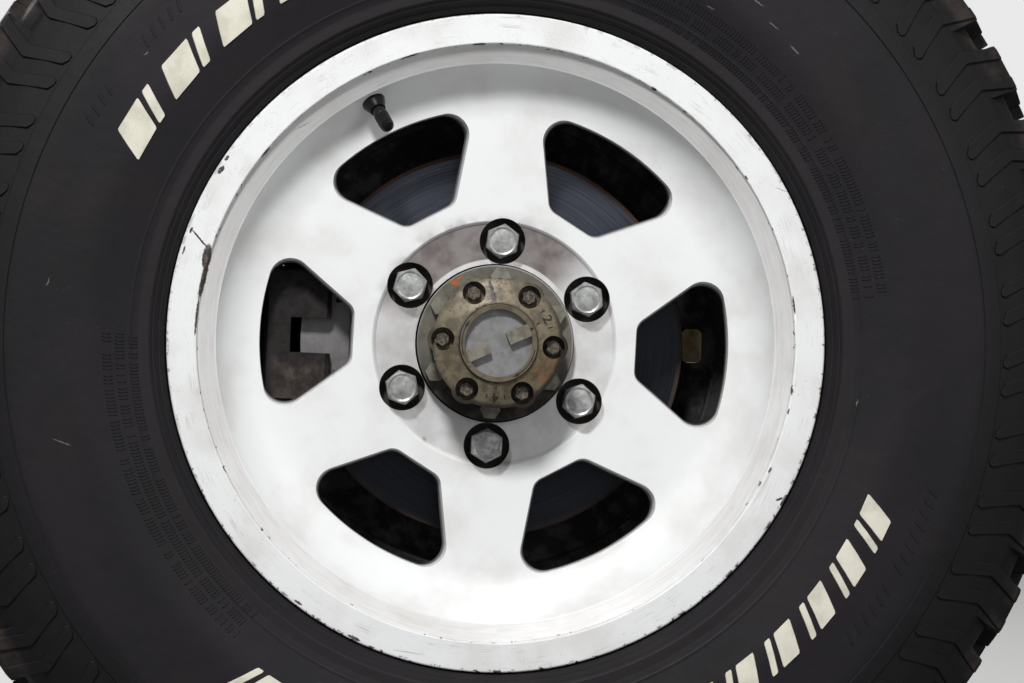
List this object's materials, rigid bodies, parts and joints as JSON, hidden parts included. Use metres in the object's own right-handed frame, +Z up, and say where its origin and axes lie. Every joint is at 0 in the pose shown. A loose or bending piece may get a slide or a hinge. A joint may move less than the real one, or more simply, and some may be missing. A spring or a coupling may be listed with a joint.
{
  "type": "off-road front wheel end",
  "caption": "Off-road front wheel end: tyre on a white windowed wheel, manual locking hub, brake disc with floating caliper, and the knuckle and steering arm that carry them.",
  "frame": {"origin": "mouth of the drive-shaft bore, on the spin axis at the inboard face of the knuckle", "axes": "+Z up, +Y along the spin axis towards the vehicle, -Y outboard towards a bystander, +X to the right as the bystander sees the wheel, where the steering arm is"},
  "size_m": [0.8049, 0.241, 0.805],
  "materials": {
    "tyre_rubber": "matte black rubber, dusty in the tread",
    "wheel_paint": "white paint, chipped and scratched on the lip",
    "nut_steel": "dull zinc plate",
    "valve_rubber": "black rubber",
    "cap_plastic": "ribbed black plastic",
    "hub_iron": "machined iron, surface rust",
    "bearing_steel": "ground steel",
    "disc_iron": "swept bright, rusty at the edge",
    "lock_base_alloy": "stained bare alloy",
    "lock_cover_alloy": "grimy bronze-brown alloy",
    "dial_alloy": "grey alloy, worn on the bars",
    "screw_steel": "oily dark steel",
    "knuckle_iron": "rough black casting, rusty in places",
    "shield_steel": "black paint over pressed steel",
    "arm_steel": "dusty forged steel",
    "caliper_iron": "brown rusty casting",
    "plate_steel": "worn grey paint",
    "lining": "pressed friction material"
  },
  "bodies": {
    "knuckle_group": {"knuckle": "knuckle_iron", "spindle": "bearing_steel", "spindle_bolts": "screw_steel", "dust_shield": "shield_steel", "steering_arm": "arm_steel", "steering_arm_bolts": "screw_steel", "caliper_bracket": "caliper_iron", "caliper_bracket_bolts": "screw_steel", "caliper_body": "caliper_iron", "caliper_piston": "bearing_steel", "caliper_pins": "screw_steel", "caliper_boots": "valve_rubber", "bleed_screw": "screw_steel", "pad_plates": "plate_steel", "pad_linings": "lining"},
    "wheel_group": {"tyre": "tyre_rubber", "wheel_rim": "wheel_paint", "wheel_casting": "wheel_paint", "wheel_nuts": "nut_steel", "wheel_studs": "nut_steel", "valve_stem": "valve_rubber", "valve_cap": "cap_plastic", "hub": "hub_iron", "bearing_inner": "bearing_steel", "bearing_outer": "bearing_steel", "brake_disc": "disc_iron", "lock_hub_body": "lock_base_alloy", "lock_hub_nuts": "screw_steel", "lock_hub_cover": "lock_cover_alloy", "lock_hub_dial": "dial_alloy", "lock_hub_screws": "screw_steel"}
  },
  "joints": [
    {"name": "wheel_spin", "type": "hinge", "parent": "knuckle_group", "child": "wheel_group", "pos_m": [0, -0.105, 0], "axis": [0, 1, 0], "continuous": true}
  ]
}
